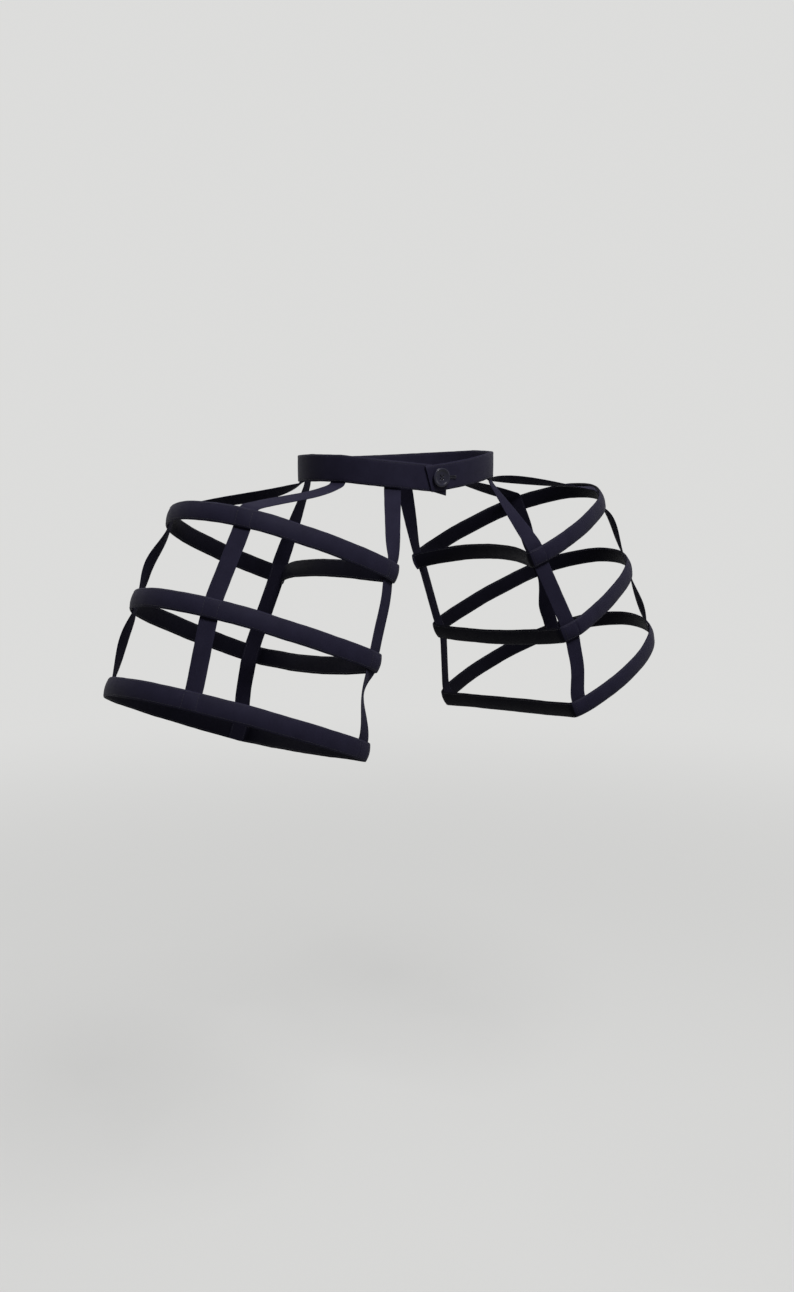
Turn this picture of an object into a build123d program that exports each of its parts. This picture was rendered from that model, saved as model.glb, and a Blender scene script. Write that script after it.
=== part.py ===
from build123d import *

import os
from collections import namedtuple
from math import atan2, cos, degrees, hypot, radians, sin, sqrt

# A cage of cloth bands that carries a skirt out over both hips, in millimetres and degrees.
# +Z is up, the wearer faces -Y and the wearer's left is +X; the origin is the middle of the waist loop.

# Waistband: a stiff flat band, open at the back, where its two ends lap and button
waist_half_width = 129.0
waist_half_depth = 108.0
waistband_height = 32.0
waistband_thickness = 2.4
# Angles round the waist run from the middle of the back towards the wearer's left
closure_angle = 15.0
closure_dip = 12.0
closure_dip_run_angle = 55.0
front_dip = 8.0
under_end_angle = 5.0
under_end_droop = 3.0
over_end_angle = 18.7
lap_ramp_start_angle = 20.0
lap_ramp_end_angle = 37.0
lap_clearance = 0.3
waist_step_angle = 7.0

# Button, sewn to the under end and passed through a keyhole slit in the over end
button_angle = 10.5
button_diameter = 23.0
button_thickness = 4.2
button_rim_width = 2.5
button_dish_depth = 1.4
button_clearance = 0.3
sewing_hole_diameter = 1.7
sewing_hole_spacing = 3.2
thread_diameter = 1.0
thread_sides = 8
shank_sides = 16
thread_clearance = 0.2
stitch_width = 1.4
shank_wrap = 0.25
buttonhole_length = 24.0
buttonhole_slit = 1.0
buttonhole_eye_diameter = 6.4

# Hoops: three flat D-shaped rings a side, parallel, tipped up at the outer side and at the back
hoop_tilt_out = 23.0
hoop_tilt_back = 5.8
band_width = 22.0
band_thickness = 3.0
crown_half_angle = 65.0
corner_turn = 20.0
pannier_out = 107.0
pannier_back = 16.0
pannier_drop = 129.0

top_span = 246.0
top_depth = 222.5
top_crown_radius = 112.0
top_hip_bulge = 25.0

mid_span = 267.0
mid_depth = 236.5
mid_crown_radius = 112.0
mid_hip_bulge = 3.0
mid_shift_in = 1.0
mid_shift_front = 2.0
mid_drop = 106.0

bottom_span = 274.0
bottom_depth = 251.0
bottom_crown_radius = 131.0
bottom_hip_bulge = 4.0
bottom_shift_in = 22.0
bottom_shift_front = 12.0
bottom_drop = 205.0

# The two sides were sewn by hand and differ a little, in how far they reach in round the hip and stand out
left_hip_reach = 4.5
right_hip_reach = -2.5
right_mid_depth_change = -4.0
right_bottom_depth_change = 3.0

# Bones: flat springy strips that push each hoop's outer arc into shape inside its casing
bone_width = 14.0
bone_thickness = 1.0
bone_clearance = 0.2
bone_end_gap = 6.0
bone_slit_length = 9.0
# Bones and their pockets are out of sight and repeat, so their arcs are made of short flats
crown_flats = 12
leg_flats = 5

# Straps: four tapes a side, sewn behind the waistband and to the inner faces of the hoops
strap_width = 20.0
strap_thickness = 1.4
strap_clearance = 0.3
strap_corner_ease = 2.6
strap_leg_ease = 0.8
strap_tuck = 12.0
strap_waist_room = 3.0
strap_hoop_room = 1.6
outer_back_strap_angle = 72.0
outer_front_strap_angle = 106.0
front_strap_angle = 137.0
outer_back_strap_share = 0.338
# The straps of the two sides differ too
left_back_strap_angle = 41.0
right_back_strap_angle = 49.0
left_outer_front_strap_share = 0.63
right_outer_front_strap_share = 0.675

# One overrun serves every cut
overrun = 1.0

Hoop = namedtuple("Hoop", "span depth crown_radius hip_bulge shift_in shift_front drop")
HOOPS = {
    "top": Hoop(top_span, top_depth, top_crown_radius, top_hip_bulge, 0, 0, 0),
    "mid": Hoop(mid_span, mid_depth, mid_crown_radius, mid_hip_bulge,
                mid_shift_in, mid_shift_front, mid_drop),
    "bottom": Hoop(bottom_span, bottom_depth, bottom_crown_radius, bottom_hip_bulge,
                   bottom_shift_in, bottom_shift_front, bottom_drop),
}

# A strap lies flat on a facet that cuts each corner of the D
facet_length = strap_width + strap_corner_ease + strap_leg_ease
facet_out = facet_length * cos(radians(corner_turn))
facet_rise = facet_length * sin(radians(corner_turn))


# The hoops of one side, with that side's own reach and depths
def side_hoops(side):
    reach = left_hip_reach if side > 0 else right_hip_reach
    changes = {} if side > 0 else {"mid": right_mid_depth_change, "bottom": right_bottom_depth_change}
    hoops = {}
    for name, hoop in HOOPS.items():
        depth = hoop.depth + reach + changes.get(name, 0)
        hoops[name] = hoop._replace(depth=depth, shift_in=hoop.shift_in + reach)
    return hoops


# The frame that the three hoops of the wearer's left share: x outwards, y to the back, z square to the hoops
def pannier_plane():
    out, back = radians(hoop_tilt_out), radians(hoop_tilt_back)
    outwards = (cos(out), -sin(out) * sin(back), sin(out) * cos(back))
    upwards = (-sin(out), -cos(out) * sin(back), cos(out) * cos(back))
    return Plane((pannier_out, pannier_back, -pannier_drop), x_dir=outwards, z_dir=upwards)


def hoop_plane(hoop):
    pannier = pannier_plane()
    middle = pannier.from_local_coords(Vector(-hoop.shift_in, -hoop.shift_front, -hoop.drop))
    return Plane(middle, x_dir=pannier.x_dir, z_dir=pannier.z_dir)


# The bow of a hoop is three tangent arcs: a long leg, a round crown and the mirrored leg
def bow_arcs(hoop, offset=0.0, end_gap=0.0):
    start_x, start_y = facet_out, hoop.span / 2
    crown_x = hoop.depth - hoop.crown_radius
    reach_x, reach_y = start_x - crown_x, start_y
    turn = radians(crown_half_angle)
    along = reach_x * cos(turn) + reach_y * sin(turn)
    excess = (reach_x**2 + reach_y**2 - hoop.crown_radius**2) / (2 * (hoop.crown_radius - along))
    leg_radius = hoop.crown_radius + excess
    leg_x, leg_y = crown_x - excess * cos(turn), -excess * sin(turn)
    leg_start = degrees(atan2(start_y - leg_y, start_x - leg_x) - end_gap / leg_radius)
    sweep = leg_start - crown_half_angle
    back_leg = CenterArc((leg_x, leg_y), leg_radius + offset, leg_start, -sweep)
    crown = CenterArc((crown_x, 0), hoop.crown_radius + offset, crown_half_angle, -2 * crown_half_angle)
    front_leg = CenterArc((leg_x, -leg_y), leg_radius + offset, -crown_half_angle, -sweep)
    return [back_leg, crown, front_leg]


# The middle line of the whole ring: bow, facets at both corners and the stretch round the hip
def ring_line(hoop):
    arcs = bow_arcs(hoop)
    back_out, front_out = arcs[0] @ 0, arcs[2] @ 1
    back_in = Vector(0, hoop.span / 2 - facet_rise)
    front_in = Vector(0, facet_rise - hoop.span / 2)
    hip = ThreePointArc(front_in, (hoop.hip_bulge, 0), back_in)
    return Wire(arcs + [Line(front_out, front_in), hip, Line(back_in, back_out)])


# Points along one side of a bow, in short flats
def bow_points(hoop, offset, end_gap):
    points = []
    for arc, flats in zip(bow_arcs(hoop, offset, end_gap), (leg_flats, crown_flats, leg_flats)):
        steps = round(flats)
        points += [arc @ (index / steps) for index in range(steps)]
    return points + [arc @ 1]


# A strip of even thickness along a hoop's bow
def bow_strip(hoop, thickness, end_gap):
    outer = bow_points(hoop, thickness / 2, end_gap)
    inner = bow_points(hoop, -thickness / 2, end_gap)
    return make_face(Polyline(*outer, *reversed(inner), close=True))


def upright(face, plane, width):
    return plane * extrude(face, amount=width / 2, both=True)


# A casing is a doubled tape with a pocket along its bow and a slit inside, where the bone goes in
def hoop_casing(hoop):
    plane = hoop_plane(hoop)
    line = ring_line(hoop)
    outside = line.offset_2d(band_thickness / 2, Kind.INTERSECTION)
    inside = line.offset_2d(-band_thickness / 2)
    ring = upright(make_face(outside) - make_face(inside), plane, band_width)
    pocket_thickness = bone_thickness + 2 * bone_clearance
    pocket_width = bone_width + 2 * bone_clearance
    pocket_gap = bone_end_gap - bone_clearance
    pocket = upright(bow_strip(hoop, pocket_thickness, pocket_gap), plane, pocket_width)
    wall = band_thickness / 2 + overrun
    outer = bow_arcs(hoop, 0, pocket_gap)[0]
    inner = bow_arcs(hoop, -wall, pocket_gap)[0]
    share = bone_slit_length / outer.length
    slit_face = make_face(Polyline(outer @ 0, outer @ share, inner @ share, inner @ 0, close=True))
    return ring - pocket - upright(slit_face, plane, pocket_width)


def hoop_bone(hoop):
    return upright(bow_strip(hoop, bone_thickness, bone_end_gap), hoop_plane(hoop), bone_width)


# A place on the waist loop's middle surface, moved along the loop's own outward direction
def waist_point(angle, outward, height):
    across, along = sin(radians(angle)), cos(radians(angle))
    reach = 1 / hypot(across / waist_half_width, along / waist_half_depth)
    normal = waist_normal(angle)
    return Vector(reach * across, reach * along, height) + normal * outward


def waist_normal(angle):
    across, along = sin(radians(angle)), cos(radians(angle))
    return Vector(across / waist_half_width**2, along / waist_half_depth**2, 0).normalized()


# Both ends of the waistband run down to the closure at the back
def waist_height(angle):
    turned = (angle - closure_angle) % 360
    past_left = turned / closure_dip_run_angle
    past_right = (360 - turned) / closure_dip_run_angle
    return front_height(angle) - closure_dip * max(1 - past_left, 1 - past_right, 0)


# The front of the band hangs a little lower than the sides
def front_height(angle):
    return -front_dip * max(0, -cos(radians(angle)))


# The height of one end of the band, carried on past the closure along its own slope; the left one droops
def end_height(angle, side):
    past = side * (angle - closure_angle) / closure_dip_run_angle
    hidden = max(0, closure_angle - angle) / (closure_angle - under_end_angle) if side > 0 else 0
    return front_height(angle) - closure_dip * max(1 - past, 0) - under_end_droop * hidden


def waist_section(angle, inset, height):
    middle = waist_point(angle, -inset, height)
    across = waist_normal(angle)
    plane = Plane(middle, x_dir=across, z_dir=across.cross(Vector(0, 0, 1)))
    return plane * Rectangle(waistband_thickness, waistband_height)


def spread_angles(first, last):
    count = max(2, round((last - first) / waist_step_angle))
    return [first + (last - first) * index / count for index in range(count + 1)]


# The under end steps in by the band's thickness so that the over end can lie flat on it
def lap_inset(angle):
    ramp = (lap_ramp_end_angle - angle) / (lap_ramp_end_angle - lap_ramp_start_angle)
    ramp = min(1, max(0, ramp))
    return (waistband_thickness + lap_clearance) * ramp**2 * (3 - 2 * ramp)


def button_plane():
    surface = waist_point(button_angle, waistband_thickness / 2, end_height(button_angle, -1))
    outwards = waist_normal(button_angle)
    return Plane(surface, x_dir=Vector(0, 0, 1).cross(outwards), z_dir=outwards)


def waistband():
    split = 360 + closure_angle - closure_dip_run_angle
    run = spread_angles(under_end_angle, lap_ramp_start_angle)
    run += spread_angles(lap_ramp_start_angle, lap_ramp_end_angle)[1:]
    run += spread_angles(lap_ramp_end_angle, closure_angle + closure_dip_run_angle)[1:]
    run += spread_angles(closure_angle + closure_dip_run_angle, split)[1:]
    long_run = [waist_section(angle, lap_inset(angle), end_height(angle, 1)) for angle in run]
    tail = [waist_section(angle, 0, end_height(angle - 360, -1))
            for angle in spread_angles(split, 360 + over_end_angle)]
    eye = RegularPolygon(buttonhole_eye_diameter / 2, shank_sides)
    slit_middle = (buttonhole_length - buttonhole_eye_diameter) / 2
    slit = Pos(slit_middle, 0) * Rectangle(buttonhole_length, buttonhole_slit)
    keyhole = extrude(button_plane() * (eye + slit), amount=waistband_thickness + overrun, both=True)
    return loft(long_run) + (loft(tail) - keyhole)


def sewing_places():
    return GridLocations(sewing_hole_spacing, sewing_hole_spacing, 2, 2)


# A round sew-through button: a raised rim round a sunken middle with four holes
def button():
    radius = button_diameter / 2
    disc = extrude(Circle(radius), amount=button_thickness)
    dish = extrude(Circle(radius - button_rim_width), amount=button_dish_depth + overrun)
    disc -= Pos(0, 0, button_thickness - button_dish_depth) * dish
    hole = extrude(RegularPolygon(sewing_hole_diameter / 2, thread_sides), amount=button_thickness)
    holes = [place * Pos(0, 0, -overrun) * hole for place in sewing_places()]
    return button_plane() * (Pos(0, 0, button_clearance) * (disc - holes))


# Two stitches over the button, four legs through its holes and a wound shank down to the under end
def button_thread():
    leg_radius = thread_diameter / 2
    stitch_bottom = button_clearance + button_thickness - button_dish_depth + thread_clearance
    shank_bottom = thread_clearance - waistband_thickness - lap_clearance
    shank_top = button_clearance - thread_clearance
    shank_middle = (shank_bottom + shank_top) / 2
    leg_height = stitch_bottom + leg_radius - shank_middle
    leg = Pos(0, 0, shank_middle) * extrude(RegularPolygon(leg_radius, thread_sides), amount=leg_height)
    legs = [place * leg for place in sewing_places()]
    bar = extrude(Rectangle(sewing_hole_spacing + stitch_width, stitch_width), amount=thread_diameter)
    stitches = [Pos(0, side * sewing_hole_spacing / 2, stitch_bottom) * bar for side in (-1, 1)]
    shank_radius = sewing_hole_spacing / sqrt(2) + leg_radius + shank_wrap
    shank_section = Pos(0, 0, shank_bottom) * RegularPolygon(shank_radius, shank_sides)
    shank = extrude(shank_section, amount=shank_top - shank_bottom)
    return button_plane() * (shank + legs + stitches)


# Where a strap meets a hoop: the place on the ring's line, the direction along the ring and the way inside
def corner_seat(hoop, side):
    along = Vector(facet_out, side * facet_rise).normalized()
    corner = Vector(0, side * (hoop.span / 2 - facet_rise))
    middle = corner + along * (strap_corner_ease + strap_width / 2)
    return middle, along, Vector(along.Y, -along.X) * side


def bow_seat(hoop, share):
    bow = Wire(bow_arcs(hoop))
    middle = bow.position_at(share * bow.length, PositionMode.LENGTH)
    along = bow.tangent_at(share * bow.length, PositionMode.LENGTH)
    return middle, -along, Vector(along.Y, -along.X)


# The four straps of one side: the angle where each leaves the waist and its seat on a hoop
def side_straps(side):
    back_angle = left_back_strap_angle if side > 0 else right_back_strap_angle
    front_share = left_outer_front_strap_share if side > 0 else right_outer_front_strap_share
    return {
        "back": (back_angle, lambda hoop: corner_seat(hoop, 1)),
        "outer_back": (outer_back_strap_angle, lambda hoop: bow_seat(hoop, outer_back_strap_share)),
        "outer_front": (outer_front_strap_angle, lambda hoop: bow_seat(hoop, front_share)),
        "front": (front_strap_angle, lambda hoop: corner_seat(hoop, -1)),
    }


# A rectangle of tape at one bend, mitred halfway between the runs that meet there
def tape_section(point, across, before, after):
    before = (before - across * before.dot(across)).normalized()
    after = (after - across * after.dot(across)).normalized()
    heading = (before + after).normalized()
    plane = Plane(point, x_dir=across, z_dir=heading)
    return plane * Rectangle(strap_width, strap_thickness / before.dot(heading))


# A strap hangs from behind the waistband and lies flat inside each hoop that it passes
def strap(angle, seat, side):
    inset = waistband_thickness / 2 + strap_clearance + strap_thickness / 2
    inset += strap_width**2 / (8 * waist_half_depth**2 / waist_half_width)
    lower_edge = waist_height(side * angle) - waistband_height / 2
    around = Vector(0, 0, 1).cross(waist_normal(angle))
    points = [waist_point(angle, -inset, lower_edge + strap_tuck),
              waist_point(angle, -inset, lower_edge - strap_waist_room)]
    across = [around, around]
    depth = band_thickness / 2 + strap_clearance + strap_thickness / 2
    for name, hoop in side_hoops(side).items():
        plane = hoop_plane(hoop)
        middle, along, inward = seat(hoop)
        sag = strap_width**2 / (8 * hoop.crown_radius)
        place = middle + inward * (depth + sag)
        half = band_width / 2
        room_below = 0 if name == "bottom" else strap_hoop_room
        for height in (half + strap_hoop_room, -half - room_below):
            points.append(plane.from_local_coords(Vector(place.X, place.Y, height)))
            across.append(plane.from_local_coords(along) - plane.origin)
    runs = [(after - before).normalized() for before, after in zip(points, points[1:])]
    befores, afters = runs[:1] + runs, runs + runs[-1:]
    sections = [tape_section(*facts) for facts in zip(points, across, befores, afters)]
    return loft(sections, ruled=True)


def on_side(shape, side):
    return shape if side > 0 else mirror(shape, about=Plane.YZ)


def write(node, shape):
    export_step(shape, f"parts/{node}.step")


os.makedirs("parts", exist_ok=True)
write("waistband", waistband())
write("button", button())
write("button_thread", button_thread())
for side_name, side in (("left", 1), ("right", -1)):
    for hoop_name, hoop in side_hoops(side).items():
        write(f"{side_name}_{hoop_name}_hoop_casing", on_side(hoop_casing(hoop), side))
        write(f"{side_name}_{hoop_name}_hoop_bone", on_side(hoop_bone(hoop), side))
    for strap_name, (angle, seat) in side_straps(side).items():
        write(f"{side_name}_{strap_name}_strap", on_side(strap(angle, seat, side), side))
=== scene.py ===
from collections import namedtuple
from math import atan2, cos, hypot, log, pi, radians, sin, tan, tau

import bpy
import numpy as np
from mathutils import Matrix, Vector


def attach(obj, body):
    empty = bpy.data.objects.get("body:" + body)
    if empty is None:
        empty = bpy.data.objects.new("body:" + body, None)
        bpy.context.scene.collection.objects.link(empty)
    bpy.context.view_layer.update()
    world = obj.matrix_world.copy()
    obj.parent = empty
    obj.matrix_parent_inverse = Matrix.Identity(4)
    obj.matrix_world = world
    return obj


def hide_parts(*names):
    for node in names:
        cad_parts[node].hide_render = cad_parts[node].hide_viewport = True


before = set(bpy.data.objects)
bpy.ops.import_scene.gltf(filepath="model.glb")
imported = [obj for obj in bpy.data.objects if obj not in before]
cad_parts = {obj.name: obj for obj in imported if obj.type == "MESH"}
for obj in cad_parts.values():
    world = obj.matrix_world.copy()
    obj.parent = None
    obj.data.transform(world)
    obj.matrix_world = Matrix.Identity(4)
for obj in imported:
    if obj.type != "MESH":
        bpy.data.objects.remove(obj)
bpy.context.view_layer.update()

# Sizes are in metres and degrees, and repeat the part's own driving dimensions

# Waistband
waist_half_width = 0.129
waist_half_depth = 0.108
waistband_height = 0.032
waistband_thickness = 0.0024
waistband_edge_thickness = 0.00192
closure_angle = 15.0
closure_dip = 0.012
closure_dip_run_angle = 55.0
front_dip = 0.008
under_end_angle = 5.0
under_end_droop = 0.003
over_end_angle = 18.7
over_end_lean = -16.0
over_end_lean_run = 0.030
lap_ramp_start_angle = 20.0
lap_ramp_end_angle = 37.0
lap_clearance = 0.0003

# Button and its thread
button_angle = 10.5
button_diameter = 0.023
button_thickness = 0.0042
button_dish_depth = 0.0014
button_clearance = 0.0003
sewing_hole_diameter = 0.0017
sewing_hole_spacing = 0.0032
sewing_thread_diameter = 0.0005
buttonhole_length = 0.024
slit_gape = 0.0004
buttonhole_eye_diameter = 0.0064

# How the thread lies: shares of its own size, of the spacing of the holes and, for the shank, turns
strand_shifts = (-1.0, 0.0, 1.0)
strand_top_spread = 0.8
strand_hole_spread = 0.45
strand_middle_rise = 1.6
strand_bend_share = 0.8
shank_reach_share = 1.41
shank_turns = 5

# Worked edge of the buttonhole, with angles in radians
keyhole_overcut = 0.00012
keyhole_stitch_pitch = 0.0006
keyhole_stitch_reach = 0.0018
slit_cover_share = 0.8
eye_stitch_gap = 0.35
eye_stitch_turn = 0.19
bar_stitch_pitch = 0.0005

# Hoops
hoop_tilt_out = 23.0
hoop_tilt_back = 5.8
band_width = 0.022
band_thickness = 0.003
band_edge_thickness = 0.0016
band_bulge = 0.0012
bone_width = 0.014
bone_thickness = 0.001
bone_clearance = 0.0002
bone_end_gap = 0.006
bone_slit_length = 0.009
crown_half_angle = 65.0
corner_turn = 20.0
pannier_out = 0.107
pannier_back = 0.016
pannier_drop = 0.129

# The hip stretch of each hoop is soft: it sags a little and stands fuller near the front
hip_fullness_skew = 0.4
Hoop = namedtuple("Hoop", "span depth crown_radius hip_bulge shift_in shift_front drop "
                  "hip_sag hip_fullness bow_sag", defaults=[(0, 0)])
HOOPS = {
    "top": Hoop(0.246, 0.2225, 0.112, 0.025, 0.0, 0.0, 0.0, 0.0, 0.008),
    "mid": Hoop(0.267, 0.2365, 0.112, 0.003, 0.001, 0.002, 0.106, 0.007, 0.0),
    "bottom": Hoop(0.274, 0.251, 0.131, 0.004, 0.022, 0.012, 0.205, 0.002, 0.0),
}

# The two sides differ a little, in how far they reach in round the hip and stand out
hip_reaches = {1: 0.0045, -1: -0.0025}
depth_changes = {1: {}, -1: {"mid": -0.004, "bottom": 0.003}}

# How far a band lies below the middle of its bone, towards the back of its bow and towards the front
bow_sags = {1: {"bottom": (0.0025, 0.0025)},
            -1: {"top": (0.0025, -0.0020), "mid": (0, -0.0025), "bottom": (0.0020, 0.0040)}}

# Straps
strap_width = 0.020
strap_thickness = 0.0014
strap_edge_thickness = 0.0010
strap_clearance = 0.0003
strap_corner_ease = 0.0026
strap_leg_ease = 0.0008
strap_tuck = 0.012
strap_waist_room = 0.003
strap_hoop_room = 0.0016
outer_back_strap_angle = 72.0
outer_front_strap_angle = 106.0
front_strap_angle = 137.0
outer_back_strap_share = 0.338
back_strap_angles = {1: 41.0, -1: 49.0}
outer_front_strap_shares = {1: 0.63, -1: 0.675}

# How a strap hangs on each of its three free runs: how far it turns, where along the run it turns most, and
# how far it bows out and sideways
Hang = namedtuple("Hang", "turns peaks bows")
STRAIGHT = Hang((0, 0, 0), (0.5, 0.5, 0.5), ((0, 0), (0, 0), (0, 0)))
HANGS = {
    "left_back": Hang((12, 0, -28), (0.75, 0.3, 0.35), ((0, 0), (0, 0.003), (0, -0.010))),
    "left_outer_back": Hang((-8, 0, 0), (0.3, 0.5, 0.5), ((-0.0035, 0), (0, 0), (0, 0))),
    "left_outer_front": Hang((36, 22, 20), (0.3, 0.55, 0.4), ((-0.004, 0), (0.004, 0), (0.002, 0))),
    "left_front": Hang((0, 0, -8), (0.5, 0.5, 0.5), ((0, 0), (0, 0), (0.007, 0))),
    "right_back": Hang((0, 0, 6), (0.5, 0.5, 0.5), ((0, 0), (0, 0), (0, -0.003))),
    "right_outer_back": Hang((35, 22, 22), (0.3, 0.3, 0.6), ((0.002, 0), (0.004, 0), (0.001, 0))),
    "right_outer_front": Hang((10, 12, 8), (0.6, 0.6, 0.6), ((0, 0), (0, -0.003), (0, -0.004))),
}

# Which corners of a strap's line start its free runs and its seats on the hoops
FREE_RUNS = (1, 3, 5)
SEATS = (2, 4, 6)

# Sewing
stitch_length = 0.0024
stitch_pitch = 0.0032
stitch_radius = 0.00022
stitch_inset = 0.0019
seam_groove_share = 0.30
seam_groove_width = 0.0012
crossing_swell_share = 0.16
crossing_swell_reach = strap_width / 3

# Rings of one stitch: the share of its length, the size and the rise, both in radii
STITCH_RINGS = [(0.0, 0.45, -0.3), (0.2, 1.0, 0.4), (0.8, 1.0, 0.4), (1.0, 0.45, -0.3)]

# Unevenness of hand work: how much, how many waves there are along the piece, and where they start
Sway = namedtuple("Sway", "amount waves phase", defaults=[0.0])
band_place_sway = Sway(0.0004, (5, 9, 14))
band_tilt_sway = Sway(radians(2.0), (4, 7, 11), 0.8)
band_width_sway = Sway(0.010, (23, 37, 51))
band_thickness_sway = Sway(0.05, (17, 29, 43), 2.0)
waist_width_sway = Sway(0.006, (31, 47, 60), 0.4)
waist_thickness_sway = Sway(0.04, (21, 33, 52), 1.1)
strap_width_sway = Sway(0.010, (9, 16, 25))
strap_thickness_sway = Sway(0.05, (12, 21, 33))
wave_phase_step = 1.7
hoop_phase_step = 1.3
strap_phase_step = 0.9

# Fineness of the meshes
station_step = 0.0024
path_step = 0.0005
station_stride = max(1, round(station_step / path_step))
corner_softness = 0.004
strap_softness = 0.006
face_columns = 9
stitch_sides = 5
waist_stations = 420
eye_points = 24
button_sides = 72
hole_sides = 16
strand_sides = 7
shank_turn_points = 16
strand_step = 0.00012
strand_softness = 0.0004
crease_angle = 50
button_crease_angle = 40
no_crease_angle = 180

# Grain of the materials: the sizes of their patches and threads, and how much of each shows
mottle_size = 0.018
mottle_share = 0.45
fuzz_size = 0.0009
fuzz_relief_share = 0.8
thread_share = 0.35
worn_most = 0.9
worn_share = 0.25
rough_spread = 0.10
cloth_bump = 0.6
herringbone_threads = 6
sheen_roughness = 0.4
sheen_tint = (0.55, 0.54, 0.75, 1)
ply_period = 0.0006
thread_mottle_size = 0.006
fine_relief = 0.0001

facet_length = strap_width + strap_corner_ease + strap_leg_ease
facet_out = facet_length * cos(radians(corner_turn))
facet_rise = facet_length * sin(radians(corner_turn))


# A tree of nodes, whose sockets are set to constants or linked to outputs of other nodes
class Graph:
    def __init__(self, tree):
        self.nodes, self.links = tree.nodes, tree.links

    def feed(self, node, inputs):
        for key, value in inputs.items():
            if isinstance(value, bpy.types.NodeSocket):
                self.links.new(value, node.inputs[key])
            else:
                node.inputs[key].default_value = value

    def add(self, kind, inputs=None, **settings):
        node = self.nodes.new(kind)
        for key, value in settings.items():
            setattr(node, key, value)
        self.feed(node, inputs or {})
        return node.outputs

    def place(self):
        return self.add("ShaderNodeTexCoord")["Object"]

    def math(self, operation, *values):
        return self.add("ShaderNodeMath", dict(enumerate(values)), operation=operation)["Value"]

    def spread(self, value, low, high):
        return self.add("ShaderNodeMapRange", {"Value": value, "To Min": low, "To Max": high})["Result"]

    def noise(self, place, size, detail):
        return self.add("ShaderNodeTexNoise", {"Vector": place, "Scale": 1 / size, "Detail": detail})["Fac"]

    # Even bands: the wave texture turns by 20 radians for each unit of its place, or by 10 on the diagonal
    def waves(self, place, period, direction):
        turn = 10 if direction == "DIAGONAL" else 20
        return self.add("ShaderNodeTexWave", {
            "Vector": place, "Scale": tau / (turn * period),
            "Distortion": 0.6, "Detail": 1.0, "Detail Scale": 2.0}, bands_direction=direction)["Fac"]

    def tone(self, factor, dark, light):
        return self.add("ShaderNodeMix", {"Factor": factor, "A": (*dark, 1), "B": (*light, 1)},
                        data_type="RGBA")["Result"]

    def bump(self, height, strength, distance):
        return self.add("ShaderNodeBump", {
            "Height": height, "Strength": strength, "Distance": distance})["Normal"]


def new_material(name):
    material = bpy.data.materials.new(name)
    material.use_nodes = True
    graph = Graph(material.node_tree)
    return material, graph, graph.nodes["Principled BSDF"]


# Woven cloth: its threads run along and across the tape, it is mottled by wear and paler along its edges
def cloth_material(name, dark, light, period, weave, relief, rough, sheen, gloss):
    material, graph, shader = new_material(name)
    place = graph.add("ShaderNodeUVMap", uv_map="cloth")["UV"]
    if weave == "herringbone":
        split = graph.add("ShaderNodeSeparateXYZ", {"Vector": place})
        fold = graph.math("PINGPONG", split["Y"], herringbone_threads * period)
        folded = graph.add("ShaderNodeCombineXYZ", {"X": split["X"], "Y": fold})["Vector"]
        threads = graph.waves(folded, period, "DIAGONAL")
    elif weave == "rib":
        threads = graph.waves(place, period, "X")
    else:
        threads = graph.math("MULTIPLY", graph.waves(place, period, "X"), graph.waves(place, period, "Y"))
    mottle = graph.noise(place, mottle_size, detail=4.0)
    fuzz = graph.noise(place, fuzz_size, detail=3.0)
    edge = graph.add("ShaderNodeAttribute", attribute_name="edge")["Fac"]
    worn = graph.math("MULTIPLY", edge, graph.spread(fuzz, low=0.0, high=worn_most))
    mottled = graph.spread(mottle, low=0.0, high=mottle_share)
    shade = graph.math("MULTIPLY_ADD", threads, thread_share, mottled)
    shade = graph.math("ADD", shade, graph.math("MULTIPLY", worn, worn_share))
    height = graph.math("ADD", threads, graph.math("MULTIPLY", fuzz, fuzz_relief_share))
    graph.feed(shader, {
        "Base Color": graph.tone(shade, dark, light),
        "Roughness": graph.spread(fuzz, low=rough - rough_spread, high=rough + rough_spread),
        "Normal": graph.bump(height, cloth_bump, relief),
        "Sheen Weight": sheen,
        "Sheen Roughness": sheen_roughness,
        "Sheen Tint": sheen_tint,
        "Specular IOR Level": gloss})
    return material


# Twisted sewing thread, with fine slanting plies
def thread_material(name, dark, light, sheen, gloss):
    material, graph, shader = new_material(name)
    place = graph.place()
    plies = graph.waves(place, ply_period, "DIAGONAL")
    mottle = graph.noise(place, thread_mottle_size, detail=2.0)
    graph.feed(shader, {
        "Base Color": graph.tone(graph.math("MULTIPLY", plies, mottle), dark, light),
        "Roughness": graph.spread(mottle, low=0.45, high=0.65),
        "Normal": graph.bump(plies, strength=0.5, distance=fine_relief),
        "Sheen Weight": sheen,
        "Specular IOR Level": gloss})
    return material


# Something hard, clouded in tone and finely scratched: polished plastic or dark spring steel
def hard_material(name, dark, light, cloud_size, cloud_detail, scratch_size, polish, bump, gloss, metallic):
    material, graph, shader = new_material(name)
    place = graph.place()
    scratches = graph.noise(place, scratch_size, detail=6.0)
    graph.feed(shader, {
        "Base Color": graph.tone(graph.noise(place, cloud_size, cloud_detail), dark, light),
        "Roughness": graph.spread(scratches, *polish),
        "Normal": graph.bump(scratches, bump, fine_relief),
        "Specular IOR Level": gloss,
        "Metallic": metallic})
    return material


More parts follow.
